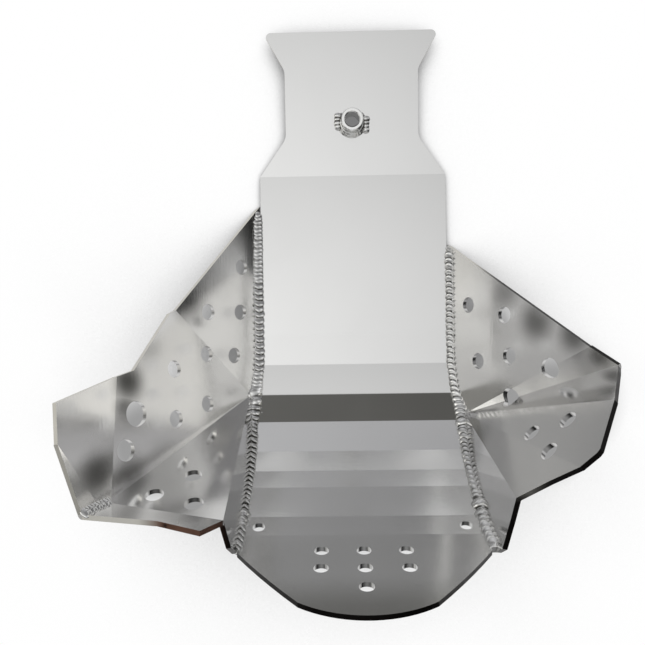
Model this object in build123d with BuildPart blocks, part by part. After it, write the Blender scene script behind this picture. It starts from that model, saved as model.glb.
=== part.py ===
"""Motorcycle skid plate: a folded centre plate with two folded side wings welded along its edges.

The origin is the middle of the flat panel's underside. +Z is up, -Y is the motorcycle's front and
+X its left, so the tail lies at +Y and the upswept nose at -Y. Lengths are in millimetres.
"""
import os
from math import atan2, ceil, cos, degrees, radians, sin

from build123d import *

os.makedirs("parts", exist_ok=True)

# Sheet metal: the same aluminium sheet makes the plate and both wings
sheet = 3.5
bend_radius = 4.0               # inside the centre plate's folds

# Centre plate
plate_width = 160.0
panel_length = 137.0
nose_width = 169.0
widening_from = 26.0            # plan stations ahead of the panel, where its sides spread
widening_to = 73.2
# Length and slope of each flat strip, from the panel's front fold to the tip of the nose
strips = [(26.0, 1.0), (26.0, 10.0), (24.5, 28.0), (29.5, 45.0), (21.0, 54.0), (18.5, 60.0),
          (32.5, 64.0), (21.0, 69.0), (87.5, 77.0)]
tail_slope = 5.0
tail_length = 121.0
neck_width = 114.0
neck_start = 32.0               # behind the panel
neck_radius = 14.0
tail_flare = 27.0               # plan length over which the tail spreads again
tail_lip = 4.5                  # straight sides at the tail's end
tail_end_width = 144.5
tail_corner_radius = 4.0

# Nose outline, along the last strip and in from the plate's side
nose_root = 21.0                # full width up to here
shoulder_middle_in, shoulder_middle_along = 20.5, 48.5
shoulder_end_in, shoulder_end_along = 43.0, 75.0

# Holes in the centre plate
drain_diameter = 10.0
drain_pitch = 28.2
drain_rows = [19.6, 39.8]       # along the last strip
drains_in_row = 3
last_drain = 60.0               # the single hole ahead of the rows
mount_diameter = 9.0
mount_inset = 11.5              # in from the plate's side
mount_along = 11.5              # along the strip before the last

# Rear mounting boss, square to the tail
boss_along = 44.5
boss_diameter = 19.0
boss_bore = 12.0
boss_height = 17.0
boss_chamfer = 0.8

# Each wing's facets lie at a tilt from level, with the climb turned from outboard to forward.
# Stations are measured ahead of the panel's front fold, outboard of its edge and up from its inner face.
wing_hole = 13.0
crease_hole = 15.0
large_hole = 18.0

# Right wing, with the pocket
right_root_gap = 1.0            # between the plate's lower edge and the wing's inner face
right_cheek_gap = 0.5           # the same at the root of the nose
right_fan_ahead, right_fan_up = 51.0, 7.4           # where its creases meet
right_side_tilt, right_side_turn = 50.5, 0.0
flare_tilt, flare_turn = 57.0, 8.0
front_tilt, front_turn = 67.5, 91.0
pocket_tilt, pocket_turn = 62.0, 6.6
corner_tilt, corner_turn = 68.0, 10.2
lip_tilt, lip_turn = 84.0, 86.6
right_wing_start = -107.5
right_side_rim = -21.0          # ahead
flare_rim = [(-18.6, 62.8), (22.2, 80.5), (25.5, 88.6)]             # ahead, out
pocket_rim = [(38.0, 168.5), (63.7, 171.0)]                         # ahead, up
corner_rim = 163.0              # up
lip_rim = [(50.0, 167.3), (21.0, 179.0)]                            # out, up
lip_fold = (114.6, 9.7)                                             # ahead, out
right_cheek_top = 5.2           # from the nose's side out to the top of the cheek's crease
right_cheek_rim = [(136.0, 149.3), (144.3, 135.0), (158.0, 120.0)]  # ahead, up
right_side_holes = [(-58.0, 15.5), (-19.8, 39.0), (-19.9, 16.8), (16.3, 21.6)]      # ahead, out
flare_holes = [(13.8, 40.2), (23.5, 59.2), (53.0, 38.8), (60.7, 57.1)]              # ahead, out
flare_large_hole = (52.7, 78.2)
flare_crease_hole = (76.4, 82.5)
front_holes = [(38.3, 114.9), (60.4, 134.4), (31.8, 144.3)]         # out, up

# Left wing, with a fan of shallow creases
left_root_gap = 0.5
left_cheek_gap = 3.0
left_fan_ahead, left_fan_up = 68.4, 14.1
left_side_tilt, left_side_turn = 58.0, 0.5
left_wing_start = -73.5
left_side_crease = (9.7, 119.9)                                     # ahead, up
upper_crease, middle_crease, lower_crease = (21.8, 92.0, 131.5), (40.7, 74.8, 167.8), (77.3, 45.1, 190.2)
brow_crease = (103.4, 11.8, 157.0)                                  # ahead, out from the nose's side, up
middle_rim = (89.5, 137.6)                                          # out, up
lower_rim = [(56.1, 192.5), (54.1, 193.0)]                          # out, up
brow_rim = (32.3, 174.7)                                            # out, up
left_cheek_rim = [(118.4, 153.2), (139.0, 146.9), (144.3, 137.0), (158.0, 120.0)]   # ahead, up
left_side_holes = [(-22.9, 14.5), (-13.8, 35.9), (23.5, 19.9), (18.3, 38.2)]        # ahead, out
lower_holes = [(54.0, 143.5), (36.9, 120.2), (38.6, 152.8)]         # out, up
side_crease_hole, upper_crease_hole = 59.0, 40.0                    # out

# Weld beads
bead_leg = 3.1                  # how far a bead climbs the wing
bead_height = 3.0
crown_from, crown_to = 0.28, 0.68                   # it is full height between these shares of its width
ripple_pitch = 5.0
ripple_depth = 0.8
ripple_crest = 0.75             # share of the pitch where a ripple is highest
right_lap = 1.9                 # how far the bead reaches over the plate
left_lap = 1.6
rear_inset = 2.0                # from the wing's rear tip to the bead
nose_inset = 2.5                # from the root of the nose to the bead
rear_taper, nose_taper = 0.25, 0.6                  # shares of its full size that it has at its two ends
fold_clear = 1.5                # no ripple section nearer to a fold than this
trimmed = 1.0                   # overlap that is cut back where a bead is trimmed to its seat
pocket_bead = 3.3
boss_bead = 3.5
boss_bead_arc = 270.0           # open toward the tail's tip
lump_radius = 3.3               # the two lumps of weld beside the boss
lump_length = 11.0
lump_ahead = 0.7                # share of a lump's length that lies ahead of its place
lump_out = 2.4                  # from the boss's wall
right_lump_shift = 3.0          # the right lump lies further back than the left one

wing_foot = -8.0                # the wings start below the plate's face and are cut flush with it

front_fold_y = -panel_length / 2
rear_fold_y = panel_length / 2
half_width = plate_width / 2
nose_half = nose_width / 2
seam_end = sum(length for length, _ in strips[:-1]) + nose_root - nose_inset
far = panel_length + tail_length + nose_width       # beyond the whole part


def walk(y, z, legs):
    """Corners of a folded line that runs forward and climbs."""
    corners = [(y, z)]
    for length, slope in legs:
        y, z = y - length * cos(radians(slope)), z + length * sin(radians(slope))
        corners.append((y, z))
    return corners


def outward(slope_before, slope_after):
    """Step in (y, z) that takes a corner through the sheet, square to both strips."""
    middle, half_bend = radians(slope_before + slope_after) / 2, radians(slope_after - slope_before) / 2
    return -sin(middle) / cos(half_bend), -cos(middle) / cos(half_bend)


folds = walk(front_fold_y, sheet, strips)
tail_lean = radians(tail_slope)
tail_tip = (rear_fold_y + tail_length * cos(tail_lean), sheet + tail_length * sin(tail_lean))
inner_line = [tail_tip, (rear_fold_y, sheet), *folds]
slopes = [-tail_slope, 0.0] + [slope for _, slope in strips]
outer_line = []
for number, (y, z) in enumerate(inner_line):
    dy, dz = outward(slopes[max(number - 1, 0)], slopes[min(number, len(slopes) - 1)])
    outer_line.append((y + sheet * dy, z + sheet * dz))


def strip_plane(number):
    """Inner face of a strip, numbered forward from 1, with its Y axis forward from its rear fold."""
    slope = radians(strips[number - 1][1])
    return Plane(origin=(0, *folds[number - 1]), x_dir=(-1, 0, 0), z_dir=(0, sin(slope), cos(slope)))


tail_normal = (0, -sin(tail_lean), cos(tail_lean))
tail_plane = Plane(origin=(0, rear_fold_y, sheet), x_dir=(1, 0, 0), z_dir=tail_normal)
boss_plane = Plane(tail_plane.location * Location((0, boss_along, 0)))
nose_plane = strip_plane(len(strips))
mount_plane = strip_plane(len(strips) - 1)
nose_root_below = nose_plane.from_local_coords((0, nose_root, -sheet))


def meet(first, second, third):
    """The point that three planes share."""
    a, b, c = first.z_dir, second.z_dir, third.z_dir
    total = b.cross(c) * first.origin.dot(a) + c.cross(a) * second.origin.dot(b)
    total += a.cross(b) * third.origin.dot(c)
    return total / a.dot(b.cross(c))


def ahead(distance):
    """Station across the plate, forward of the panel's front fold."""
    return Plane(origin=(0, front_fold_y - distance, 0), z_dir=(0, 1, 0))


def out(side, distance):
    """Station along the plate, outboard of the panel's edge."""
    return Plane(origin=(side * (half_width + distance), 0, 0), z_dir=(1, 0, 0))


def up(height):
    """Level station above the panel's inner face."""
    return Plane(origin=(0, 0, sheet + height), z_dir=(0, 0, 1))


def spot(side, forward, outboard, height, edge=half_width):
    """Point by its three stations."""
    return Vector(side * (edge + outboard), front_fold_y - forward, sheet + height)


def facet(side, tilt, turn, through):
    """Inner face of a wing's facet: tilt from level, and the climb turned from outboard to forward."""
    lean, heading = radians(tilt), radians(turn)
    normal = (-side * sin(lean) * cos(heading), sin(lean) * sin(heading), cos(lean))
    return Plane(origin=through, z_dir=normal)


def between(side, centre, rear_end, front_end):
    """Inner face of the facet between two creases that meet at the centre."""
    normal = (front_end - centre).cross(rear_end - centre) * side
    return Plane(origin=centre, x_dir=front_end - centre, z_dir=normal)


def slab(face, corners):
    """Flat piece of the sheet, behind the inner face that the corners outline."""
    with BuildSketch(face) as outline:
        with BuildLine():
            Polyline(*[face.to_local_coords(corner) for corner in corners], close=True)
        make_face()
    extrude(outline.sketch, amount=sheet, dir=-face.z_dir)


def bend(start, end, first, second):
    """Round outside of a fold along the crease between two inner faces."""
    crease = (end - start).normalized()
    turn = degrees(atan2(first.z_dir.cross(second.z_dir).dot(crease), first.z_dir.dot(second.z_dir)))
    with BuildSketch(Plane(origin=start, x_dir=-first.z_dir, z_dir=crease)) as sector:
        with BuildLine():
            arc = CenterArc((0, 0), sheet, 0, turn)
            Line(arc @ 0, (0, 0))
            Line((0, 0), arc @ 1)
        make_face()
    extrude(sector.sketch, amount=(end - start).length, dir=crease)


def knuckle(point, faces):
    """Round outside of the sheet where several folds meet."""
    with Locations(point):
        ball = Sphere(sheet, mode=Mode.PRIVATE)
    for face in faces:
        split(ball, bisect_by=face, keep=Keep.BOTTOM, mode=Mode.ADD)


def drill(where, square_to, diameter):
    """Hole through the sheet at a point of its inner face."""
    with Locations(Plane(origin=where, z_dir=square_to)):
        Cylinder(diameter / 2, 6 * sheet, mode=Mode.SUBTRACT)


# Everything below the plate's outer face: the wings and beads end flush with it
with BuildPart() as underside:
    with BuildSketch(Plane.YZ):
        with BuildLine():
            Polyline((far, outer_line[0][1]), *outer_line, (outer_line[-1][0], far), (-far, far),
                     (-far, -far), (far, -far), close=True)
        make_face()
    extrude(amount=far, both=True)

# Centre plate: one folded sheet, trimmed to its plan and to the nose outline
with BuildPart() as centre_plate:
    with BuildSketch(Plane.YZ) as band:
        with BuildLine():
            Polyline(*inner_line, *reversed(outer_line), close=True)
        make_face()
        for line, radius in ((inner_line, bend_radius), (outer_line, bend_radius + sheet)):
            for corner in line[1:-1]:
                fillet(band.vertices().sort_by_distance(Vector(*corner))[0], radius)
    extrude(amount=nose_half, both=True)

    neck_end = tail_tip[0] - tail_lip - tail_flare
    with BuildSketch() as plan:
        with BuildLine():
            Polyline(
                (0, -far), (nose_half, -far), (nose_half, front_fold_y - widening_to),
                (half_width, front_fold_y - widening_from), (half_width, rear_fold_y),
                (neck_width / 2, rear_fold_y + neck_start), (neck_width / 2, neck_end),
                (tail_end_width / 2, neck_end + tail_flare), (tail_end_width / 2, tail_tip[0]),
                (0, tail_tip[0]),
            )
            mirror(about=Plane.YZ)
        make_face()
        fillet(plan.vertices().group_by(Axis.Y)[-1], tail_corner_radius)
        neck = plan.vertices().filter_by(lambda corner: abs(abs(corner.X) - neck_width / 2) < sheet)
        fillet(neck, neck_radius)
    extrude(amount=far, mode=Mode.INTERSECT)

    with BuildSketch(nose_plane):
        with Locations((0, nose_root)):
            Rectangle(2 * nose_width, nose_width, align=(Align.CENTER, Align.MIN))
        with BuildLine():
            shoulder_middle = (nose_half - shoulder_middle_in, shoulder_middle_along)
            shoulder_end = (nose_half - shoulder_end_in, shoulder_end_along)
            shoulder = ThreePointArc((nose_half, nose_root), shoulder_middle, shoulder_end)
            mirror(shoulder, about=Plane.YZ)
            ThreePointArc(shoulder_end, (0, strips[-1][0]), (-shoulder_end[0], shoulder_end[1]))
            Line((nose_half, nose_root), (-nose_half, nose_root))
        make_face(mode=Mode.SUBTRACT)
    extrude(amount=2 * sheet, both=True, mode=Mode.SUBTRACT)

    for along, count in [*((row, drains_in_row) for row in drain_rows), (last_drain, 1)]:
        with Locations(nose_plane.location * Location((0, along, 0))):
            with GridLocations(drain_pitch, 1, count, 1):
                Cylinder(drain_diameter / 2, 4 * sheet, mode=Mode.SUBTRACT)
    with Locations(mount_plane.location * Location((0, mount_along, 0))):
        with GridLocations(nose_width - 2 * mount_inset, 1, 2, 1):
            Cylinder(mount_diameter / 2, 4 * sheet, mode=Mode.SUBTRACT)
    with Locations(boss_plane):
        Cylinder(boss_bore / 2, 4 * sheet, mode=Mode.SUBTRACT)
centre_plate.part.label = "centre_plate"

# Right wing: facets folded about creases that fan out from one point beside the plate
right = -1
right_side = facet(right, right_side_tilt, right_side_turn, (right * (half_width + right_root_gap), 0, 0))
fan = meet(right_side, ahead(right_fan_ahead), up(right_fan_up))
flare = facet(right, flare_tilt, flare_turn, fan)
front = facet(right, front_tilt, front_turn, fan)
flare_edge = [meet(flare, ahead(forward), out(right, outboard)) for forward, outboard in flare_rim]
pocket_top = flare_edge[-1]
pocket = facet(right, pocket_tilt, pocket_turn, pocket_top)
pocket_edge = [meet(pocket, ahead(forward), up(height)) for forward, height in pocket_rim]
corner = facet(right, corner_tilt, corner_turn, pocket_edge[-1])
lip = facet(right, lip_tilt, lip_turn, meet(front, ahead(lip_fold[0]), out(right, lip_fold[1])))
lip_end = meet(front, lip, out(right, nose_half - half_width + right_cheek_top))
right_nose_foot = Vector(right * (nose_half + right_cheek_gap), nose_root_below.Y, nose_root_below.Z)
right_cheek = between(right, fan, lip_end, right_nose_foot)

flare_top = meet(right_side, flare, ahead(right_side_rim))
pocket_foot = meet(flare, pocket, front)
front_corner = meet(pocket, front, lip)
low_corner = meet(pocket, corner, lip)
rim_corner = meet(corner, lip, up(corner_rim))
cheek_foot = meet(right_side, right_cheek, up(wing_foot))

with BuildPart() as right_wing:
    rear_tip = meet(right_side, ahead(right_wing_start), up(0))
    below_tip = rear_tip + (rear_tip - flare_top).normalized() * 4 * sheet
    slab(right_side, [flare_top, fan, cheek_foot, below_tip])
    slab(flare, [flare_top, *flare_edge, pocket_foot, fan])
    slab(pocket, [pocket_top, *pocket_edge, low_corner, front_corner, pocket_foot])
    slab(corner, [pocket_edge[-1], rim_corner, low_corner])
    slab(front, [fan, pocket_foot, front_corner, lip_end])
    lip_edge = [meet(lip, out(right, outboard), up(height)) for outboard, height in lip_rim]
    slab(lip, [front_corner, low_corner, rim_corner, *lip_edge, lip_end])
    cheek_edge = [meet(right_cheek, ahead(forward), up(height)) for forward, height in right_cheek_rim]
    slab(right_cheek, [fan, lip_end, *cheek_edge, cheek_foot])
    for start, end, first, second in [
        (fan, flare_top, right_side, flare), (pocket_foot, pocket_top, flare, pocket),
        (low_corner, pocket_edge[-1], pocket, corner), (fan, pocket_foot, flare, front),
        (pocket_foot, front_corner, pocket, front), (front_corner, low_corner, pocket, lip),
        (low_corner, rim_corner, corner, lip), (front_corner, lip_end, front, lip),
        (fan, cheek_foot, right_side, right_cheek),
    ]:
        bend(start, end, first, second)
    knuckle(fan, [right_side, flare, front, right_cheek])
    knuckle(pocket_foot, [flare, pocket, front])
    knuckle(front_corner, [pocket, front, lip])
    knuckle(low_corner, [pocket, corner, lip])
    add(underside.part, mode=Mode.SUBTRACT)

    for forward, outboard in right_side_holes:
        drill(meet(right_side, ahead(forward), out(right, outboard)), right_side.z_dir, wing_hole)
    for (forward, outboard), diameter in [*((place, wing_hole) for place in flare_holes),
                                          (flare_large_hole, large_hole), (flare_crease_hole, crease_hole)]:
        drill(meet(flare, ahead(forward), out(right, outboard)), flare.z_dir, diameter)
    for outboard, height in front_holes:
        drill(meet(front, out(right, outboard), up(height)), front.z_dir, wing_hole)
right_wing.part.label = "right_wing"

# Left wing: more, shallower creases from its own fan point
left = 1
left_root = (left * (half_width + left_root_gap), front_fold_y, 0)
left_side = facet(left, left_side_tilt, left_side_turn, left_root)
left_fan = meet(left_side, ahead(left_fan_ahead), up(left_fan_up))
side_top = meet(left_side, ahead(left_side_crease[0]), up(left_side_crease[1]))
upper_top, middle_top, lower_top = (spot(left, *end) for end in (upper_crease, middle_crease, lower_crease))
brow_top = spot(left, *brow_crease, edge=nose_half)
left_nose_foot = Vector(left * (nose_half + left_cheek_gap), nose_root_below.Y, nose_root_below.Z)
upper = between(left, left_fan, side_top, upper_top)
middle = between(left, left_fan, upper_top, middle_top)
lower = between(left, left_fan, middle_top, lower_top)
brow = between(left, left_fan, lower_top, brow_top)
left_cheek = between(left, left_fan, brow_top, left_nose_foot)
left_foot = meet(left_side, left_cheek, up(wing_foot))

with BuildPart() as left_wing:
    rear_tip = meet(left_side, ahead(left_wing_start), up(0))
    below_tip = rear_tip + (rear_tip - side_top).normalized() * 4 * sheet
    slab(left_side, [side_top, left_fan, left_foot, below_tip])
    slab(upper, [side_top, upper_top, left_fan])
    middle_edge = meet(middle, out(left, middle_rim[0]), up(middle_rim[1]))
    slab(middle, [upper_top, middle_edge, middle_top, left_fan])
    lower_edge = [meet(lower, out(left, outboard), up(height)) for outboard, height in lower_rim]
    slab(lower, [middle_top, *lower_edge, lower_top, left_fan])
    brow_edge = meet(brow, out(left, brow_rim[0]), up(brow_rim[1]))
    slab(brow, [lower_top, brow_edge, brow_top, left_fan])
    cheek_edge = [meet(left_cheek, ahead(forward), up(height)) for forward, height in left_cheek_rim]
    slab(left_cheek, [brow_top, *cheek_edge, left_foot, left_fan])
    for end, first, second in [(side_top, left_side, upper), (upper_top, upper, middle),
                               (middle_top, middle, lower), (lower_top, lower, brow),
                               (brow_top, brow, left_cheek), (left_foot, left_side, left_cheek)]:
        bend(left_fan, end, first, second)
    add(underside.part, mode=Mode.SUBTRACT)

    for forward, outboard in left_side_holes:
        drill(meet(left_side, ahead(forward), out(left, outboard)), left_side.z_dir, wing_hole)
    for outboard, height in lower_holes:
        drill(meet(lower, out(left, outboard), up(height)), lower.z_dir, wing_hole)
    for rear_face, front_face, outboard in [(left_side, upper, side_crease_hole),
                                            (upper, middle, upper_crease_hole)]:
        on_crease = meet(rear_face, front_face, out(left, outboard))
        drill(on_crease, rear_face.z_dir + front_face.z_dir, crease_hole)
left_wing.part.label = "left_wing"

# Rear boss: a turned spacer that stands square on the tail
with BuildPart(boss_plane) as rear_boss:
    Cylinder(boss_diameter / 2, boss_height, align=(Align.CENTER, Align.CENTER, Align.MIN))
    Cylinder(boss_bore / 2, boss_height, align=(Align.CENTER, Align.CENTER, Align.MIN), mode=Mode.SUBTRACT)
    chamfer(rear_boss.edges().filter_by(GeomType.CIRCLE).sort_by(Axis.Z)[-2:], boss_chamfer)
rear_boss.part.label = "rear_boss"


# Weld beads along the plate's edges: scalloped ripples that fill the groove beside each wing
def seam_point(distance):
    """Point of the plate's inner line and its slope, at a distance forward of the panel along the line."""
    if distance <= 0:
        return front_fold_y - distance, sheet, 0.0
    for (length, slope), (y, z) in zip(strips, folds):
        if distance < length:
            break
        distance -= length
    return y - distance * cos(radians(slope)), z + distance * sin(radians(slope)), slope


def seam_stations(start, end):
    """Distance and slope of each bead section: two to a ripple, and one on every fold."""
    stations, fold_at, slope_before = [], 0.0, 0.0
    for length, slope in strips:
        if start < fold_at < end:
            stations.append((fold_at, (slope_before + slope) / 2))
        fold_at, slope_before = fold_at + length, slope
    fold_distances = [distance for distance, _ in stations]
    for ripple in range(ceil((end - start) / ripple_pitch)):
        for share in (0.0, ripple_crest):
            distance = start + (ripple + share) * ripple_pitch
            clear = all(abs(distance - other) > fold_clear for other in [*fold_distances, end])
            if clear and distance < end:
                stations.append((distance, seam_point(distance)[2]))
    stations.append((end, seam_point(end)[2]))
    return sorted(stations)


def side_bead(side, start, lap, faces):
    """Oversized bead along one edge of the plate, to be trimmed by the pieces that it joins."""
    sections = []
    for distance, slope in seam_stations(start, seam_end):
        y, z, _ = seam_point(distance)
        lean = radians(slope)
        spread = (front_fold_y - y - widening_from) / (widening_to - widening_from)
        edge = half_width + (nose_half - half_width) * min(max(spread, 0), 1)
        share = ((distance - start) / ripple_pitch) % 1
        crest = share / ripple_crest if share < ripple_crest else (1 - share) / (1 - ripple_crest)
        growth = min(rear_taper + (distance - start) / (2 * ripple_pitch),
                     nose_taper + (seam_end - distance) / (2 * ripple_pitch), 1)
        leg, height = bead_leg * growth, bead_height * growth - ripple_depth * (1 - crest)

        def wing_out(lift):
            level = Vector(0, y + lift * sin(lean), z + lift * cos(lean))
            return min(side * (face.origin - level).dot(face.z_dir) / face.z_dir.X for face in faces)

        toe, below = edge - lap, -sheet - trimmed
        width = wing_out(leg) - toe
        profile = [(toe - trimmed / 4, -trimmed / 2), (toe + crown_from * width, height),
                   (toe + crown_to * width, height), (wing_out(leg) + trimmed, leg),
                   (wing_out(below) + trimmed, below), (edge - trimmed, below)]
        with BuildSketch(Plane(origin=(0, y, z), x_dir=(side, 0, 0),
                               z_dir=(0, -side * cos(lean), side * sin(lean)))) as section:
            with BuildLine():
                Polyline(*profile, close=True)
            make_face()
        sections.append(section.sketch)
    loft(sections, ruled=True)


with BuildPart() as right_side_weld:
    side_bead(right, right_wing_start + rear_inset, right_lap, (right_side, right_cheek))
    for trim in (centre_plate, right_wing, underside):
        add(trim.part, mode=Mode.SUBTRACT)
right_side_weld.part.label = "right_side_weld"

with BuildPart() as left_side_weld:
    side_bead(left, left_wing_start + rear_inset, left_lap, (left_side, left_cheek))
    for trim in (centre_plate, left_wing, underside):
        add(trim.part, mode=Mode.SUBTRACT)
left_side_weld.part.label = "left_side_weld"


def round_bead(path, radius):
    """String of scallops along a path, thickest between its valleys."""
    sections = []
    course = [(end - start).normalized() for start, end in zip(path, path[1:])]
    for number, (start, end) in enumerate(zip(path, path[1:])):
        steps = 2 * max(round((end - start).length / ripple_pitch), 1)
        for step in range(steps + 1 if number == len(course) - 1 else steps):
            heading = course[number] + course[max(number - 1, 0)] if step == 0 else course[number]
            with BuildSketch(Plane(origin=start + (end - start) * step / steps, z_dir=heading)) as section:
                RegularPolygon(radius - ripple_depth * (1 - step % 2), 8)
            sections.append(section.sketch)
    loft(sections, ruled=True)


# Bead along the pocket's folded corner
with BuildPart() as pocket_weld:
    rim_end = rim_corner + (low_corner - rim_corner).normalized() * trimmed
    round_bead([rim_end, low_corner, front_corner], pocket_bead)
    add(right_wing.part, mode=Mode.SUBTRACT)
pocket_weld.part.label = "pocket_weld"

# Fillet of weld around the front of the boss, with a lump of weld on either side
opening = radians(90 + (360 - boss_bead_arc) / 2)
radial = boss_plane.x_dir * cos(opening) + boss_plane.y_dir * sin(opening)
with BuildPart() as boss_weld:
    with BuildSketch(Plane(origin=boss_plane.origin, x_dir=radial, z_dir=radial.cross(boss_plane.z_dir))):
        with BuildLine():
            inside = boss_diameter / 2 - trimmed
            Polyline((inside, -trimmed), (inside + boss_bead + 2 * trimmed, -trimmed),
                     (inside, boss_bead + trimmed), close=True)
        make_face()
    revolve(axis=Axis(boss_plane.origin, boss_plane.z_dir), revolution_arc=boss_bead_arc)
    for side, shift in ((right, right_lump_shift), (left, 0)):
        beside = boss_plane.from_local_coords((side * (boss_diameter / 2 + lump_out), shift, 0))
        lump_front = beside - boss_plane.y_dir * lump_ahead * lump_length
        round_bead([lump_front, lump_front + boss_plane.y_dir * lump_length], lump_radius)
    add(centre_plate.part, mode=Mode.SUBTRACT)
    add(rear_boss.part, mode=Mode.SUBTRACT)
boss_weld.part.label = "boss_weld"

for piece in (centre_plate, right_wing, left_wing, rear_boss,
              right_side_weld, left_side_weld, pocket_weld, boss_weld):
    export_step(piece.part, f"parts/{piece.part.label}.step")
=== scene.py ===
"""A motorcycle's skid plate, seen from straight above on a pale studio floor."""
import math
import random

import bmesh
import bpy
import numpy
from mathutils import Matrix, Vector


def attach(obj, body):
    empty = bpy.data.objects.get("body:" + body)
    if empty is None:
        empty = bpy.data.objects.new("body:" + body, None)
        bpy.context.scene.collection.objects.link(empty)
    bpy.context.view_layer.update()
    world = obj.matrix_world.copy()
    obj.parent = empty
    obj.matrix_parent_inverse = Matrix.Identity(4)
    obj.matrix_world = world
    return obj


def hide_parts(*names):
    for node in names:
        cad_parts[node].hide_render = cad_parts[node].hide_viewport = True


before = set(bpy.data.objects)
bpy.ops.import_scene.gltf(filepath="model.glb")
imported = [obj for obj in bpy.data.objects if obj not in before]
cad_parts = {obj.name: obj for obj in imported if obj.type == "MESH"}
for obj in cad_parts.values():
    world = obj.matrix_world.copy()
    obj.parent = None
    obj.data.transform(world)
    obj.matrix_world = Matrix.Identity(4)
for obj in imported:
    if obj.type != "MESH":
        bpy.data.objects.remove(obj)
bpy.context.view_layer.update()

scene = bpy.context.scene

# Camera: it hangs over the flat panel and looks straight down, turned by about a degree, with the
# nose at the bottom of the picture.
camera_data = bpy.data.cameras.new("camera")
camera_data.sensor_width = 36.0
camera_data.lens = 38.512
camera_data.clip_start = 0.05
camera_data.clip_end = 30.0
camera = bpy.data.objects.new("camera", camera_data)
scene.collection.objects.link(camera)
camera_turn = (Matrix.Rotation(math.radians(-0.88), 3, "Z") @ Matrix.Rotation(math.radians(1.07), 3, "Y")
               @ Matrix.Rotation(math.radians(-0.17), 3, "X") @ Matrix.Diagonal((1.0, -1.0, -1.0)))
picture_right, picture_down, sight = camera_turn.row
camera.matrix_world = Matrix.Translation((-0.0167, -0.0601, 0.6006)) @ Matrix(
    (picture_right, -picture_down, -sight)).transposed().to_4x4()
scene.camera = camera

# Floor: a wide sheet of white studio paper. It takes a soft grey shade under the plate and its wings and
# almost none beside them. Mirrored in the metal, it is bright only around the plate.
paper = bmesh.new()
bmesh.ops.create_grid(paper, x_segments=1, y_segments=1, size=6.0)
floor_mesh = bpy.data.meshes.new("floor")
paper.to_mesh(floor_mesh)
paper.free()
floor = bpy.data.objects.new("floor", floor_mesh)
floor.location.z = -0.0006
scene.collection.objects.link(floor)

paper_white = bpy.data.materials.new("studio paper")
paper_white.use_nodes = True
nodes, links = paper_white.node_tree.nodes, paper_white.node_tree.links
nodes.clear()
paper_out = nodes.new("ShaderNodeOutputMaterial")
paper_matt = nodes.new("ShaderNodeBsdfDiffuse")
paper_matt.inputs["Color"].default_value = (0.84, 0.84, 0.84, 1.0)
paper_lit = nodes.new("ShaderNodeEmission")
ray = nodes.new("ShaderNodeLightPath")
seen_or_mirrored = nodes.new("ShaderNodeMath")
seen_or_mirrored.operation = "MULTIPLY_ADD"
seen_or_mirrored.inputs[1].default_value = 0.5
links.new(ray.outputs["Is Glossy Ray"], seen_or_mirrored.inputs[0])
links.new(ray.outputs["Is Camera Ray"], seen_or_mirrored.inputs[2])
seen_at_all = nodes.new("ShaderNodeMath")
seen_at_all.operation = "MAXIMUM"
links.new(seen_or_mirrored.outputs[0], seen_at_all.inputs[0])
links.new(ray.outputs["Is Transmission Ray"], seen_at_all.inputs[1])
open_sky = nodes.new("ShaderNodeAmbientOcclusion")
open_sky.samples = 8
open_sky.inputs["Distance"].default_value = 0.3
under_plate = nodes.new("ShaderNodeMapRange")
under_plate.inputs["From Min"].default_value = 0.4
under_plate.inputs["From Max"].default_value = 0.88
under_plate.inputs["To Min"].default_value = 0.2
under_plate.inputs["To Max"].default_value = 1.0
links.new(open_sky.outputs["AO"], under_plate.inputs["Value"])
ground = nodes.new("ShaderNodeNewGeometry")
away = nodes.new("ShaderNodeVectorMath")
away.operation = "DISTANCE"
away.inputs[1].default_value = (-0.017, -0.06, 0.0)
links.new(ground.outputs["Position"], away.inputs[0])
pool_edge = nodes.new("ShaderNodeMapRange")
pool_edge.inputs["From Min"].default_value = 0.42
pool_edge.inputs["From Max"].default_value = 0.75
pool_edge.inputs["To Min"].default_value = 1.0
pool_edge.inputs["To Max"].default_value = 0.35
links.new(away.outputs["Value"], pool_edge.inputs["Value"])
shaded = under_plate.outputs[0]
# Rounds of shade under the wings: middle, then the reach of the dark and of its soft rim
for x, y, deep, soft in (
        (-0.102, -0.067, 0.015, 0.048), (-0.136, -0.128, 0.018, 0.050), (-0.180, -0.162, 0.024, 0.070),
        (-0.145, -0.204, 0.014, 0.042), (0.110, -0.071, 0.015, 0.048), (0.130, -0.110, 0.020, 0.060),
        (0.172, -0.128, 0.022, 0.068), (0.160, -0.162, 0.016, 0.050), (0.118, -0.150, 0.015, 0.055),
        (-0.120, -0.160, 0.015, 0.060)):
    from_middle = nodes.new("ShaderNodeVectorMath")
    from_middle.operation = "DISTANCE"
    from_middle.inputs[1].default_value = (x, y, 0.0)
    links.new(ground.outputs["Position"], from_middle.inputs[0])
    umbra = nodes.new("ShaderNodeMapRange")
    umbra.interpolation_type = "SMOOTHSTEP"
    umbra.inputs["From Min"].default_value = deep
    umbra.inputs["From Max"].default_value = soft
    umbra.inputs["To Min"].default_value = 0.33
    umbra.inputs["To Max"].default_value = 1.0
    links.new(from_middle.outputs["Value"], umbra.inputs["Value"])
    darker = nodes.new("ShaderNodeMath")
    darker.operation = "MINIMUM"
    links.new(shaded, darker.inputs[0])
    links.new(umbra.outputs[0], darker.inputs[1])
    shaded = darker.outputs[0]
paper_glow = nodes.new("ShaderNodeMath")
paper_glow.operation = "MULTIPLY"
links.new(shaded, paper_glow.inputs[0])
pool = nodes.new("ShaderNodeMath")
pool.operation = "MAXIMUM"
links.new(pool_edge.outputs[0], pool.inputs[0])
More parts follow.
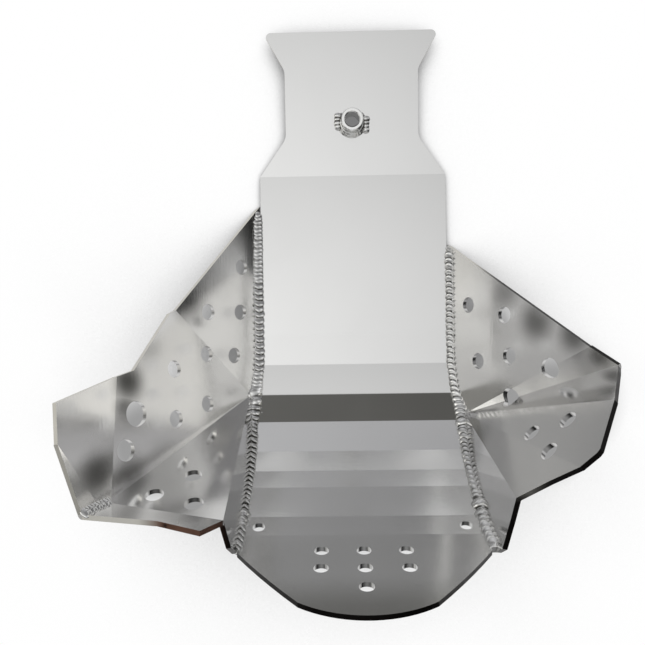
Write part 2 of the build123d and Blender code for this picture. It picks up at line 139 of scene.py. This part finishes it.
links.new(ray.outputs["Is Camera Ray"], pool.inputs[1])
links.new(pool.outputs[0], paper_glow.inputs[1])
links.new(paper_glow.outputs[0], paper_lit.inputs["Strength"])
paper_mix = nodes.new("ShaderNodeMixShader")
links.new(seen_at_all.outputs[0], paper_mix.inputs["Fac"])
links.new(paper_matt.outputs[0], paper_mix.inputs[1])
links.new(paper_lit.outputs[0], paper_mix.inputs[2])
links.new(paper_mix.outputs[0], paper_out.inputs["Surface"])
floor_mesh.materials.append(paper_white)

# Studio light: soft boxes overhead and at either side, and a paler wall behind the plate's tail, in a dark
# room. The polished sheet mirrors these. Looked at directly, the room is a plain pale backdrop.
room = bpy.data.worlds.new("room")
scene.world = room
room.use_nodes = True
nodes, links = room.node_tree.nodes, room.node_tree.links
look = nodes.new("ShaderNodeTexCoord")
lit = None
# Turned from behind the plate toward its left, height above the floor, how tight, colour
for turn, height, tightness, colour in (
        (0.0, 90.0, 4.7, (0.73, 0.73, 0.73)),
        (-86.0, 32.0, 18.5, (1.37, 1.35, 1.29)),
        (68.0, 33.0, 22.0, (0.97, 0.97, 0.98)),
        (-20.0, 10.0, 8.3, (0.52, 0.52, 0.53)),
        (-114.0, -5.0, 18.6, (0.92, 0.91, 0.88)),
        (-111.0, 68.0, 11.3, (0.42, 0.42, 0.41)),
        (20.0, -3.0, 8.9, (0.32, 0.32, 0.33))):
    turn, height = math.radians(turn), math.radians(height)
    toward = nodes.new("ShaderNodeVectorMath")
    toward.operation = "DOT_PRODUCT"
    toward.inputs[1].default_value = (math.sin(turn) * math.cos(height), math.cos(turn) * math.cos(height),
                                      math.sin(height))
    links.new(look.outputs["Generated"], toward.inputs[0])
    falloff = nodes.new("ShaderNodeMath")
    falloff.operation = "MULTIPLY_ADD"
    falloff.inputs[1].default_value = tightness
    falloff.inputs[2].default_value = -tightness
    links.new(toward.outputs["Value"], falloff.inputs[0])
    glow = nodes.new("ShaderNodeMath")
    glow.operation = "EXPONENT"
    links.new(falloff.outputs[0], glow.inputs[0])
    lamp = nodes.new("ShaderNodeVectorMath")
    lamp.operation = "SCALE"
    lamp.inputs[0].default_value = colour
    links.new(glow.outputs[0], lamp.inputs["Scale"])
    if lit is None:
        lit = lamp
        continue
    together = nodes.new("ShaderNodeVectorMath")
    together.operation = "ADD"
    links.new(lit.outputs[0], together.inputs[0])
    links.new(lamp.outputs[0], together.inputs[1])
    lit = together
direct = nodes.new("ShaderNodeLightPath")
seen = nodes.new("ShaderNodeMath")
seen.operation = "MAXIMUM"
links.new(direct.outputs["Is Camera Ray"], seen.inputs[0])
links.new(direct.outputs["Is Transmission Ray"], seen.inputs[1])
backdrop = nodes.new("ShaderNodeMix")
backdrop.data_type = "RGBA"
backdrop.inputs["B"].default_value = (0.97, 0.97, 0.97, 1.0)
links.new(seen.outputs[0], backdrop.inputs["Factor"])
links.new(lit.outputs[0], backdrop.inputs["A"])
links.new(backdrop.outputs["Result"], nodes["Background"].inputs["Color"])

# Centre plate: one strip of mill-finished aluminium sheet, cut and folded cold and never painted. Its
# cut edges are broken with a file, and the rolled face shows cloudy stains and fine scratches.


def mill_finish(name, tone, roughness, cloud):
    """Bare aluminium with cloudy stains and the fine grain of the rolls, which runs along the plate."""
    metal = bpy.data.materials.new(name)
    metal.use_nodes = True
    nodes, links = metal.node_tree.nodes, metal.node_tree.links
    shader = nodes["Principled BSDF"]
    shader.inputs["Metallic"].default_value = 1.0
    place = nodes.new("ShaderNodeTexCoord")
    clouds = nodes.new("ShaderNodeTexNoise")
    clouds.inputs["Scale"].default_value = cloud
    clouds.inputs["Detail"].default_value = 5.0
    clouds.inputs["Distortion"].default_value = 0.6
    links.new(place.outputs["Object"], clouds.inputs["Vector"])
    blur = nodes.new("ShaderNodeMapRange")
    blur.inputs["From Min"].default_value = 0.3
    blur.inputs["From Max"].default_value = 0.7
    blur.inputs["To Min"].default_value = roughness - 0.04
    blur.inputs["To Max"].default_value = roughness + 0.05
    links.new(clouds.outputs["Fac"], blur.inputs["Value"])
    links.new(blur.outputs[0], shader.inputs["Roughness"])
    shade = nodes.new("ShaderNodeMix")
    shade.data_type = "RGBA"
    shade.inputs["A"].default_value = (*[0.93 * value for value in tone], 1.0)
    shade.inputs["B"].default_value = (*tone, 1.0)
    links.new(clouds.outputs["Fac"], shade.inputs["Factor"])
    links.new(shade.outputs["Result"], shader.inputs["Base Color"])
    rolled = nodes.new("ShaderNodeMapping")
    rolled.inputs["Scale"].default_value = (900.0, 60.0, 900.0)
    links.new(place.outputs["Object"], rolled.inputs["Vector"])
    grain = nodes.new("ShaderNodeTexNoise")
    grain.inputs["Scale"].default_value = 1.0
    grain.inputs["Detail"].default_value = 2.0
    links.new(rolled.outputs[0], grain.inputs["Vector"])
    bump = nodes.new("ShaderNodeBump")
    bump.inputs["Strength"].default_value = 0.06
    bump.inputs["Distance"].default_value = 0.0002
    links.new(grain.outputs["Fac"], bump.inputs["Height"])
    links.new(bump.outputs["Normal"], shader.inputs["Normal"])
    return metal


def edged_sheet(name, rim, crease):
    """The sheet again in one skin, with its cut edges broken and its sharp inside creases rounded."""
    skin = bmesh.new()
    skin.from_mesh(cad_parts[name].data)
    for face in skin.faces:
        face.smooth = False
    bmesh.ops.remove_doubles(skin, verts=skin.verts, dist=same_place)
    bmesh.ops.dissolve_limit(skin, angle_limit=math.radians(0.4), verts=skin.verts, edges=skin.edges)
    if crease:
        slight, steep, shortest = math.radians(3.0), math.radians(85.0), 0.006
        inside = [edge for edge in skin.edges
                  if len(edge.link_faces) == 2 and edge.calc_length() > shortest
                  and slight < -edge.calc_face_angle_signed() < steep]
        folds = bmesh.ops.bevel(skin, geom=inside, offset=crease, segments=4, profile=0.5, affect="EDGES",
                                material=-1, clamp_overlap=True)
        # The rounded creases take the third material, whose brighter colour is a painted highlight
        for face in folds["faces"]:
            face.smooth = True
            face.material_index = 2
    corner, cut_width = math.radians(58.0), 0.0038
    for face in skin.faces:
        longest = max(edge.calc_length() for edge in face.edges)
        sharp = sum(edge.calc_length() for edge in face.edges if edge.calc_face_angle(0.0) > corner)
        narrow = face.calc_area() < cut_width * longest
        if face.material_index == 0 and narrow and sharp > 0.4 * face.calc_perimeter():
            face.material_index = 1
    cut = [edge for edge in skin.edges
           if len(edge.link_faces) == 2 and edge.calc_face_angle_signed() > corner]
    rims = bmesh.ops.bevel(skin, geom=cut, offset=rim, segments=2, profile=0.5, affect="EDGES",
                           material=-1, clamp_overlap=True)
    for face in rims["faces"]:
        face.smooth = True
    still_round = math.radians(50.0)
    for edge in skin.edges:
        edge.smooth = edge.calc_face_angle(math.pi) < still_round
    mesh = bpy.data.meshes.new(name + "_sheet")
    skin.to_mesh(mesh)
    skin.free()
    piece = bpy.data.objects.new(name + "_sheet", mesh)
    scene.collection.objects.link(piece)
    even = piece.modifiers.new("even shading", "WEIGHTED_NORMAL")
    even.keep_sharp = True
    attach(piece, "root")
    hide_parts(name)
    return piece


# Corners of the CAD facets nearer than this are one corner
same_place = 2e-6
broken_edge = 0.00025
plate_finish = mill_finish("plate sheet", (0.87, 0.87, 0.865), 0.19, 14.0)
plate = edged_sheet("centre_plate", broken_edge, 0.0)
plate.data.materials.append(plate_finish)

# Painted dark reflection: the third strip of the folded front is painted dark, and the nose darker toward
# its tip, where they would mirror the dark part of the room.
third_strip, half_strip = -0.1309, 0.0108
nodes, links = plate_finish.node_tree.nodes, plate_finish.node_tree.links
shader = nodes["Principled BSDF"]
axes = nodes.new("ShaderNodeSeparateXYZ")
links.new(nodes["Texture Coordinate"].outputs["Object"], axes.inputs[0])
strip = nodes.new("ShaderNodeMath")
strip.operation = "COMPARE"
strip.inputs[1].default_value = third_strip
strip.inputs[2].default_value = half_strip
links.new(axes.outputs["Y"], strip.inputs[0])
tip = nodes.new("ShaderNodeMapRange")
tip.interpolation_type = "SMOOTHSTEP"
tip.inputs["From Min"].default_value = 0.165
tip.inputs["From Max"].default_value = 0.205
tip.inputs["To Max"].default_value = 0.75
links.new(axes.outputs["Z"], tip.inputs["Value"])
how_painted_dark = nodes.new("ShaderNodeMath")
how_painted_dark.operation = "MAXIMUM"
links.new(strip.outputs[0], how_painted_dark.inputs[0])
links.new(tip.outputs[0], how_painted_dark.inputs[1])
painted_dark = nodes.new("ShaderNodeMix")
painted_dark.data_type = "RGBA"
painted_dark.inputs["B"].default_value = (0.36, 0.355, 0.33, 1.0)
links.new(how_painted_dark.outputs[0], painted_dark.inputs["Factor"])
links.new(shader.inputs["Base Color"].links[0].from_socket, painted_dark.inputs["A"])
links.new(painted_dark.outputs["Result"], shader.inputs["Base Color"])

# The sawn edge is paler and rougher than the rolled face. Round the nose and the left wing it is painted
# near black, a painted dark reflection of the dark room in front of the plate; where that starts, on the
# right, it is brown with black blotches.
cut_edge = mill_finish("cut edge", (0.86, 0.84, 0.78), 0.34, 120.0)
nodes, links = cut_edge.node_tree.nodes, cut_edge.node_tree.links
shader = nodes["Principled BSDF"]
ragged = nodes.new("ShaderNodeTexNoise")
ragged.inputs["Scale"].default_value = 90.0
ragged.inputs["Detail"].default_value = 4.0
links.new(nodes["Texture Coordinate"].outputs["Object"], ragged.inputs["Vector"])
axes = nodes.new("ShaderNodeSeparateXYZ")
links.new(nodes["Texture Coordinate"].outputs["Object"], axes.inputs[0])


def ramp(value, low, high):
    """Nothing at one value and everything at the other, smoothly."""
    step = nodes.new("ShaderNodeMapRange")
    step.interpolation_type = "SMOOTHSTEP"
    step.inputs["From Min"].default_value = low
    step.inputs["From Max"].default_value = high
    links.new(value, step.inputs["Value"])
    return step.outputs[0]


def joined(operation, first, second):
    """Two values brought together by one operation."""
    both = nodes.new("ShaderNodeMath")
    both.operation = operation
    links.new(first, both.inputs[0])
    links.new(second, both.inputs[1])
    return both.outputs[0]


past_pocket = ramp(axes.outputs["X"], -0.145, -0.125)
nose_side = ramp(axes.outputs["Y"], -0.160, -0.176)
left_side = ramp(axes.outputs["X"], 0.095, 0.115)
# Painted dark reflection on the front cut edges
painted_dark_edge_mask = joined("MULTIPLY", past_pocket, joined("MAXIMUM", nose_side, left_side))
edge_brown_or_black = nodes.new("ShaderNodeMix")
edge_brown_or_black.data_type = "RGBA"
edge_brown_or_black.inputs["A"].default_value = (0.20, 0.11, 0.08, 1.0)
edge_brown_or_black.inputs["B"].default_value = (0.02, 0.018, 0.017, 1.0)
past_wing, blotches = ramp(axes.outputs["X"], -0.096, -0.086), ramp(ragged.outputs["Fac"], 0.45, 0.7)
links.new(joined("MAXIMUM", past_wing, blotches), edge_brown_or_black.inputs["Factor"])
painted_dark_edge = nodes.new("ShaderNodeMix")
painted_dark_edge.data_type = "RGBA"
links.new(painted_dark_edge_mask, painted_dark_edge.inputs["Factor"])
links.new(shader.inputs["Base Color"].links[0].from_socket, painted_dark_edge.inputs["A"])
links.new(edge_brown_or_black.outputs["Result"], painted_dark_edge.inputs["B"])
links.new(painted_dark_edge.outputs["Result"], shader.inputs["Base Color"])
plate.data.materials.append(cut_edge)

# Wings: two more pieces of the same sheet, each folded by hand along creases that fan out from a point
# beside the plate. Their faces are smoother than the plate's, so they mirror more of the room. The creases
# are smoother still, and their brighter colour is a painted highlight along each bend.
wing_finish = mill_finish("wing sheet", (0.87, 0.865, 0.855), 0.13, 18.0)
painted_highlight = mill_finish("burnished crease", (0.96, 0.955, 0.94), 0.09, 60.0)


def paint_dark_reflections(material, patches):
    """Painted dark reflections: soft dark patches where the sheet would mirror dark parts of the room, with
    the middle, reach and depth of each.
    """
    nodes, links = material.node_tree.nodes, material.node_tree.links
    shader, place = nodes["Principled BSDF"], nodes["Texture Coordinate"].outputs["Object"]
    depth = None
    for middle, reach, amount in patches:
        from_middle = nodes.new("ShaderNodeVectorMath")
        from_middle.operation = "DISTANCE"
        from_middle.inputs[1].default_value = middle
        links.new(place, from_middle.inputs[0])
        patch = nodes.new("ShaderNodeMapRange")
        patch.interpolation_type = "SMOOTHERSTEP"
        patch.inputs["From Max"].default_value = reach
        patch.inputs["To Min"].default_value = amount
        patch.inputs["To Max"].default_value = 0.0
        links.new(from_middle.outputs["Value"], patch.inputs["Value"])
        if depth is None:
            depth = patch.outputs[0]
            continue
        deeper = nodes.new("ShaderNodeMath")
        deeper.operation = "MAXIMUM"
        links.new(depth, deeper.inputs[0])
        links.new(patch.outputs[0], deeper.inputs[1])
        depth = deeper.outputs[0]
    painted_dark = nodes.new("ShaderNodeMix")
    painted_dark.data_type = "RGBA"
    painted_dark.inputs["B"].default_value = (0.06, 0.06, 0.055, 1.0)
    links.new(depth, painted_dark.inputs["Factor"])
    links.new(shader.inputs["Base Color"].links[0].from_socket, painted_dark.inputs["A"])
    links.new(painted_dark.outputs["Result"], shader.inputs["Base Color"])


# Painted dark reflections on both wings, where their facets would mirror dark parts of the room
paint_dark_reflections(wing_finish, (((-0.0900, 0.0300, 0.0100), 0.055, 0.88), ((-0.1339, -0.0432, 0.0641), 0.022, 0.5),
                     ((-0.1620, -0.1000, 0.1180), 0.022, 0.85), ((-0.1630, -0.1160, 0.1220), 0.018, 0.7),
                     ((-0.1610, -0.1600, 0.1260), 0.024, 0.5), ((-0.1745, -0.1560, 0.1500), 0.024, 0.75),
                     ((0.1150, -0.0350, 0.0580), 0.024, 0.5), ((0.1335, -0.0600, 0.0835), 0.026, 0.75),
                     ((0.1520, -0.0700, 0.1120), 0.022, 0.75), ((0.1640, -0.0840, 0.1260), 0.014, 0.7),
                     ((0.0960, -0.1560, 0.0620), 0.030, 0.4), ((-0.1183, -0.1809, 0.1594), 0.030, 0.45)))
for name in ("right_wing", "left_wing"):
    wing = edged_sheet(name, broken_edge, 0.0018)
    wing.data.materials.append(wing_finish)
    wing.data.materials.append(cut_edge)
    wing.data.materials.append(painted_highlight)

# Rear boss: a turned aluminium bush, bored right through and welded square to the tail. Its solid needs
# no rework, and its metal is paler than the sheet.
boss_finish = mill_finish("turned boss", (0.94, 0.94, 0.93), 0.16, 30.0)
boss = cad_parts["rear_boss"]
boss.data.materials.clear()
boss.data.materials.append(boss_finish)

# Side welds: one bead of aluminium along each edge of the plate, laid by hand as a row of overlapping
# puddles with a raised rim. They are even along the panel and rougher up the folded front.
sheet = 0.0035
panel_end, panel_half_width = -0.0685, 0.08
# Length and slope of each strip, ahead of the panel
strips = ((0.026, 1.0), (0.026, 10.0), (0.0245, 28.0), (0.0295, 45.0), (0.021, 54.0), (0.0185, 60.0),
          (0.0325, 64.0), (0.021, 69.0), (0.0875, 77.0))
hand = random.Random(11)


def seam_point(distance):
    """Height and slope of the plate's upper face, so far along it from the panel's end."""
    y, z, slope = panel_end - min(distance, 0.0), sheet, 0.0
    for length, angle in strips:
        if distance <= 0.0:
            break
        slope = math.radians(angle)
        step = min(distance, length)
        y, z, distance = y - step * math.cos(slope), z + step * math.sin(slope), distance - step
    return Vector((0.0, y, z)), slope


def seam_seat(side, distance, lap, planes):
    """The bead's toe on the plate, which widens past the first strip, and its toe on the wing."""
    widen_from, widen_over, wider, bead_height = -0.0945, 0.0472, 0.0045, 0.0031
    point, slope = seam_point(distance)
    edge = panel_half_width + wider * min(max((widen_from - point.y) / widen_over, 0.0), 1.0)
    climb = point + Vector((0.0, math.sin(slope), math.cos(slope))) * bead_height
    out = min(side * (Vector(origin) - climb).dot(Vector(facing)) / facing[0] for origin, facing in planes)
    return Vector((side * (edge - lap), point.y, point.z)), Vector((side * out, climb.y, climb.z))


def seam_course(side, distance, reach, lap, planes):
    """The way the plate's toe runs there, between two points so far to either side."""
    beyond = seam_seat(side, distance + reach, lap, planes)[0]
    return beyond - seam_seat(side, distance - reach, lap, planes)[0]


def upward(across, ahead):
    up = across.cross(ahead).normalized()
    if up.z < 0.0:
        up.negate()
    return up


def puddle(skin, place, across, ahead, size, lean):
    """One flattened drop of weld metal, lifted at its front rim, or at the back where lean is negative."""
    across, ahead = across.normalized(), ahead.normalized()
    up = upward(across, ahead)
    turn = Matrix.Rotation(hand.uniform(-0.12, 0.12), 3, up)
    tilted = turn @ (ahead * math.cos(lean) + up * math.sin(lean))
    face = turn @ (up * math.cos(lean) - ahead * math.sin(lean))
    side = turn @ across
    shape = Matrix((side * size[0], tilted * size[1], face * size[2])).transposed().to_4x4()
    bmesh.ops.create_uvsphere(skin, u_segments=18, v_segments=9, radius=1.0,
                              matrix=Matrix.Translation(place) @ shape)


def weld_metal(name, skin, grain, dirty, material):
    """Fuse the drops into one skin in place of the CAD bead. Its hollows take painted shade and its dirty
    places soot.
    """
    mesh = bpy.data.meshes.new(name + "_bead")
    bmesh.ops.recalc_face_normals(skin, faces=skin.faces)
    skin.to_mesh(mesh)
    skin.free()
    piece = bpy.data.objects.new(name + "_bead", mesh)
    scene.collection.objects.link(piece)
    fuse = piece.modifiers.new("fuse", "REMESH")
    fuse.mode = "VOXEL"
    fuse.voxel_size = grain
    soften = piece.modifiers.new("soften", "SMOOTH")
    soften.factor = 0.5
    soften.iterations = 2
    fused = bpy.data.meshes.new_from_object(piece.evaluated_get(bpy.context.evaluated_depsgraph_get()))
    piece.modifiers.clear()
    piece.data = fused
    fused.name = name + "_bead"
    bpy.data.meshes.remove(mesh)
    fused.shade_smooth()
    spots = numpy.empty(len(fused.vertices) * 3)
    fused.vertices.foreach_get("co", spots)
    spots = spots.reshape(-1, 3)
    facing = numpy.empty(len(fused.vertices) * 3)
    fused.vertices.foreach_get("normal", facing)
    facing = facing.reshape(-1, 3)
    ends = numpy.empty(len(fused.edges) * 2, dtype=numpy.int32)
    fused.edges.foreach_get("vertices", ends)
    ends = ends.reshape(-1, 2)
    both = numpy.concatenate((ends, ends[:, ::-1]))
    neighbours = numpy.bincount(both[:, 0], minlength=len(spots)).clip(1)

    def around(values):
        return numpy.bincount(both[:, 0], weights=values[both[:, 1]], minlength=len(spots)) / neighbours

    # Painted shade: each point is darkened by how far it lies below its neighbours, so the hollows between
    # the drops come out dark
    middle, deep_hollow = spots, 0.00012
    for _ in range(6):
        middle = numpy.stack([around(middle[:, axis]) for axis in range(3)], axis=1)
    hollow = ((middle - spots) * facing).sum(axis=1)
    for _ in range(2):
        hollow = around(hollow)
    hollow = (hollow / deep_hollow).clip(-1.0, 1.0)
    for place, reach, amount in dirty:
        hollow += amount * numpy.exp(-((spots - numpy.array(place)) ** 2).sum(axis=1) / reach ** 2)
    soot_and_hollow_shade = fused.attributes.new("soot_and_hollow_shade", "FLOAT", "POINT")
    soot_and_hollow_shade.data.foreach_set("value", hollow.astype(numpy.float32))
    fused.materials.clear()
    fused.materials.append(material)
    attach(piece, "root")
    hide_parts(name)
    return piece


def side_bead(name, side, start, end, lap, planes, runs, lumps, dark, material):
    """Lay a bead run by run, on top of the CAD bead worn down to a core.

    Runs give the place each ends and its drops' pitch, lean, height and spread. Lumps give a place along
    the seam, a share of the way across, a lift and a size. Dark places get soot and small spatter.
    """
    skin = bmesh.new()
    skin.from_mesh(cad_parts[name].data)
    bmesh.ops.remove_doubles(skin, verts=skin.verts, dist=same_place)
    seats, between_seats, core_height = [], 0.002, 0.0003
    for step in range(int((end - start) / between_seats) + 1):
        distance = start + step * between_seats
        inner, outer = seam_seat(side, distance, lap, planes)
        ahead = seam_course(side, distance, 0.001, lap, planes)
        seats.append(((inner + outer) / 2, upward(outer - inner, ahead)))
    for vert in skin.verts:
        seat, up = min(seats, key=lambda seat: (seat[0] - vert.co).length_squared)
        above = (vert.co - seat).dot(up)
        if above > core_height:
            vert.co -= up * (above - core_height)
    end_gap, fade, shortest_drop = 0.001, 0.012, 0.0024
    distance = start + end_gap
    for run_end, pitch, lean, height, spread in runs:
        while distance < min(run_end, end - end_gap):
            inner, outer = seam_seat(side, distance, lap, planes)
            behind, beyond = (sum(seam_seat(side, distance + step, lap, planes), Vector()) / 2
                              for step in (-0.003, 0.003))
            ahead, across = beyond - behind, outer - inner
            up = upward(across, ahead)
            taper = min(0.5 + (distance - start) / fade, 0.6 + (end - distance) / fade, 1.0)
            size = (across.length / 2 * spread * hand.uniform(0.96, 1.07) * taper,
                    max(pitch * 0.82, shortest_drop) * hand.uniform(0.95, 1.1), height * taper)
            place = (inner + outer) / 2 + up * hand.uniform(-0.0003, 0.0002)
            place += across * hand.uniform(-0.03, 0.03)
            puddle(skin, place, across, ahead, size, math.radians(lean * hand.uniform(0.85, 1.15)))
            distance += pitch * hand.uniform(0.9, 1.1)
    for distance, share, lift, size in lumps:
        inner, outer = seam_seat(side, distance, lap, planes)
        ahead = seam_course(side, distance, 0.002, lap, planes)
        up = upward(outer - inner, ahead)
        puddle(skin, inner.lerp(outer, share) + up * lift, outer - inner, ahead, size, 0.0)
    dirty = []
    for distance, reach, amount in dark:
        inner, outer = seam_seat(side, distance, lap, planes)
        dirty.append(((inner + outer) / 2, reach, amount))
        for _ in range(round(9 * amount)):
            off = distance + hand.uniform(-1.0, 1.0) * reach
            inner, outer = seam_seat(side, off, lap, planes)
            ahead = seam_seat(side, off + 0.001, lap, planes)[0] - inner
            size = hand.uniform(0.0005, 0.0011)
            place = inner.lerp(outer, hand.uniform(-0.3, 1.2))
            puddle(skin, place, outer - inner, ahead, (size, size, size), 0.0)
    return weld_metal(name, skin, 0.0004, dirty, material)


weld_finish = mill_finish("weld metal", (0.9, 0.9, 0.89), 0.16, 60.0)
nodes, links = weld_finish.node_tree.nodes, weld_finish.node_tree.links
shader = nodes["Principled BSDF"]
# This attribute darkens the weld: soot in the dirty places and painted shade in the hollows
between = nodes.new("ShaderNodeAttribute")
between.attribute_name = "soot_and_hollow_shade"
black = nodes.new("ShaderNodeMapRange")
black.inputs["From Min"].default_value = 0.05
black.inputs["From Max"].default_value = 0.75
links.new(between.outputs["Fac"], black.inputs["Value"])
soot_and_shade = nodes.new("ShaderNodeMix")
soot_and_shade.data_type = "RGBA"
soot_and_shade.inputs["B"].default_value = (0.1, 0.095, 0.085, 1.0)
links.new(black.outputs[0], soot_and_shade.inputs["Factor"])
links.new(shader.inputs["Base Color"].links[0].from_socket, soot_and_shade.inputs["A"])
links.new(soot_and_shade.outputs["Result"], shader.inputs["Base Color"])

# The two facets of each wing that its bead lies against: a point on each and the way it faces
right_planes = (((-0.081, 0.0, 0.0), (0.7716, 0.0, 0.6361)),
                ((-0.0899853, -0.1195, 0.0109), (0.992, 0.1171, 0.0467)))
side_bead("right_side_weld", -1, -0.1055, 0.2175, 0.0019, right_planes,
          ((-0.045, 0.0034, 24.0, 0.0014, 1.0), (0.03, 0.0051, 33.0, 0.0014, 1.04),
           (0.046, 0.0034, 24.0, 0.0014, 1.0), (0.0715, 0.0044, 16.0, 0.0020, 1.12),
           (0.086, 0.0040, 22.0, 0.0012, 1.0), (0.17, 0.0054, 32.0, 0.0014, 1.3),
           (0.19, 0.0044, 18.0, 0.0018, 1.5), (0.22, 0.0062, 22.0, 0.0016, 1.6)),
          ((0.050, 0.62, 0.0006, (0.0062, 0.0042, 0.0022)), (0.058, 0.45, 0.0008, (0.0048, 0.0040, 0.0024)),
           (0.177, 0.5, 0.0008, (0.0052, 0.0042, 0.0024)), (0.184, 0.6, 0.0006, (0.0048, 0.0036, 0.0020))),
          ((-0.100, 0.006, 0.25), (0.0665, 0.005, 0.7), (0.082, 0.012, 0.5), (0.104, 0.013, 0.4),
           (0.126, 0.013, 0.45), (0.146, 0.012, 0.35), (0.172, 0.006, 0.9), (0.205, 0.014, 0.25)),
          weld_finish)
left_planes = (((0.0805, -0.0685, 0.0), (-0.848, 0.0074, 0.5299)),
               ((0.0909012, -0.1369, 0.0176), (-0.9821, 0.1708, 0.0789)))
side_bead("left_side_weld", 1, -0.0715, 0.2175, 0.0016, left_planes,
          ((0.055, 0.0050, -33.0, 0.0014, 1.12), (0.09, 0.0040, -22.0, 0.0016, 1.0),
           (0.155, 0.0050, -30.0, 0.0014, 1.1), (0.19, 0.0040, -20.0, 0.0018, 1.25),
           (0.22, 0.0062, -26.0, 0.0016, 1.3)),
          ((0.080, 0.5, 0.0008, (0.0050, 0.0040, 0.0024)), (0.168, 0.55, 0.0010, (0.0056, 0.0046, 0.0026)),
           (0.178, 0.45, 0.0006, (0.0048, 0.0036, 0.0020))),
          ((0.078, 0.010, 0.3), (0.100, 0.012, 0.45), (0.122, 0.012, 0.4), (0.142, 0.010, 0.35),
           (0.164, 0.006, 0.8), (0.176, 0.006, 0.6), (0.205, 0.014, 0.2)),
          weld_finish)

# Pocket weld: a short bead up the corner where the pocket's lip meets its side, in finer ripples than
# the side welds.
skin = bmesh.new()
skin.from_mesh(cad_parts["pocket_weld"].data)
bmesh.ops.remove_doubles(skin, verts=skin.verts, dist=same_place)
corner_run = (Vector((-0.1789805, -0.1780134, 0.1665)), Vector((-0.1730602, -0.1767903, 0.1515424)),
              Vector((-0.169406, -0.1762769, 0.1446043)))
lip_facing, side_facing = Vector((0.9125, 0.1642, 0.3746)), Vector((0.059, 0.9928, 0.1045))
open_side = (lip_facing + side_facing).normalized()
drop_pitch, drop_lift = 0.0025, 0.0012
for start, end in zip(corner_run, corner_run[1:]):
    steps = max(round((end - start).length / drop_pitch), 1)
    course = (end - start).normalized()
    across = course.cross(open_side)
    for step in range(steps):
        place = start.lerp(end, (step + 0.5) / steps) + open_side * drop_lift
        size = (0.0046, 0.0024 * hand.uniform(0.98, 1.05), 0.0011)
        puddle(skin, place, across, course, size, math.radians(36.0))
weld_metal("pocket_weld", skin, 0.0003, (), weld_finish)

# Boss weld: a fillet run round the front of the boss, with a lump of weld on either side where the
# bead starts and stops.
skin = bmesh.new()
skin.from_mesh(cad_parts["boss_weld"].data)
bmesh.ops.remove_doubles(skin, verts=skin.verts, dist=same_place)
boss_foot = Vector((0.0, 0.1128307, 0.0073784))
leftward = Vector((1.0, 0.0, 0.0))
tail_up, tail_back = Vector((0.0, -0.0872, 0.9962)), Vector((0.0, 0.9962, 0.0872))
drops, first_turn, whole_turn = 22, -225.0, 270.0
for step in range(drops):
    turn = math.radians(first_turn + whole_turn * (step + 0.5) / drops)
    outward = leftward * math.cos(turn) + tail_back * math.sin(turn)
    place = boss_foot + outward * 0.0104 + tail_up * drop_lift
    size = (0.0024, 0.0019, 0.0011 * hand.uniform(0.9, 1.3))
    puddle(skin, place, (outward - tail_up).normalized(), outward.cross(tail_up), size, math.radians(18.0))
# Which side, and how far toward the end of the tail
lump_sides = ((-1, 0.003), (1, 0.0))
for side, shift in lump_sides:
    for step in range(4):
        back = tail_back * (shift - 0.0065 + 0.0031 * step)
        place = boss_foot + Vector((side * 0.0119, 0.0, 0.0)) + back + tail_up * drop_lift
        size = (0.0036 * hand.uniform(0.85, 1.1), 0.0028, 0.0022 * hand.uniform(0.85, 1.2))
        puddle(skin, place, leftward, tail_back, size, math.radians(14.0))
burnt_lumps = [(boss_foot + Vector((side * 0.0125, 0.0, 0.0)) + tail_back * shift, 0.007, 0.75)
               for side, shift in lump_sides]
weld_metal("boss_weld", skin, 0.0003, burnt_lumps, weld_finish)

# Colours are shown as they are, without a film look.
scene.view_settings.view_transform = "Standard"
